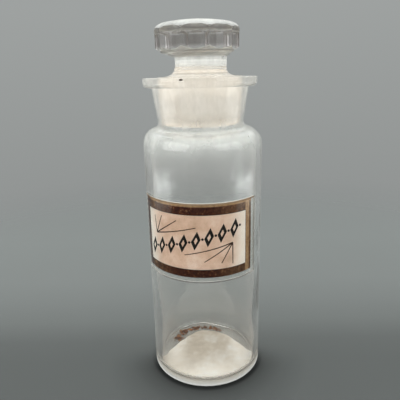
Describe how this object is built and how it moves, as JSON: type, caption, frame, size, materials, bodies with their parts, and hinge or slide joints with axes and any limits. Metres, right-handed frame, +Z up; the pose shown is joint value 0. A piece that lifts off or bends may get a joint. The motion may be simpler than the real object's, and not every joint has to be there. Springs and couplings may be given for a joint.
{
  "type": "apothecary bottle",
  "caption": "Clear glass pharmacy bottle with a round shoulder and flat lip, a ground stopper with a fluted mushroom head, and a gilt-bordered label let into the wall under a bent cover glass.",
  "frame": {"origin": "centre of the foot ring, on the surface that the bottle stands on", "axes": "+Z up through the mouth, along which the stopper lifts out; the label faces -Y"},
  "size_m": [0.06, 0.06, 0.1829],
  "materials": {
    "clear_glass": "polished",
    "stopper_glass": "satin",
    "cover_glass": "polished",
    "gilt": "satin",
    "cream_paint": "satin",
    "cement": "matte"
  },
  "bodies": {
    "vessel": {"bottle": "clear_glass", "label_cover_glass": "cover_glass", "label_gilt_border": "gilt", "label_panel": "cream_paint", "label_cement": "cement"},
    "stopper": {"stopper": "stopper_glass"}
  },
  "joints": [
    {"name": "stopper_lift", "type": "slide", "parent": "vessel", "child": "stopper", "axis": [0, 0, 1], "range_m": [0, 0.05]}
  ]
}
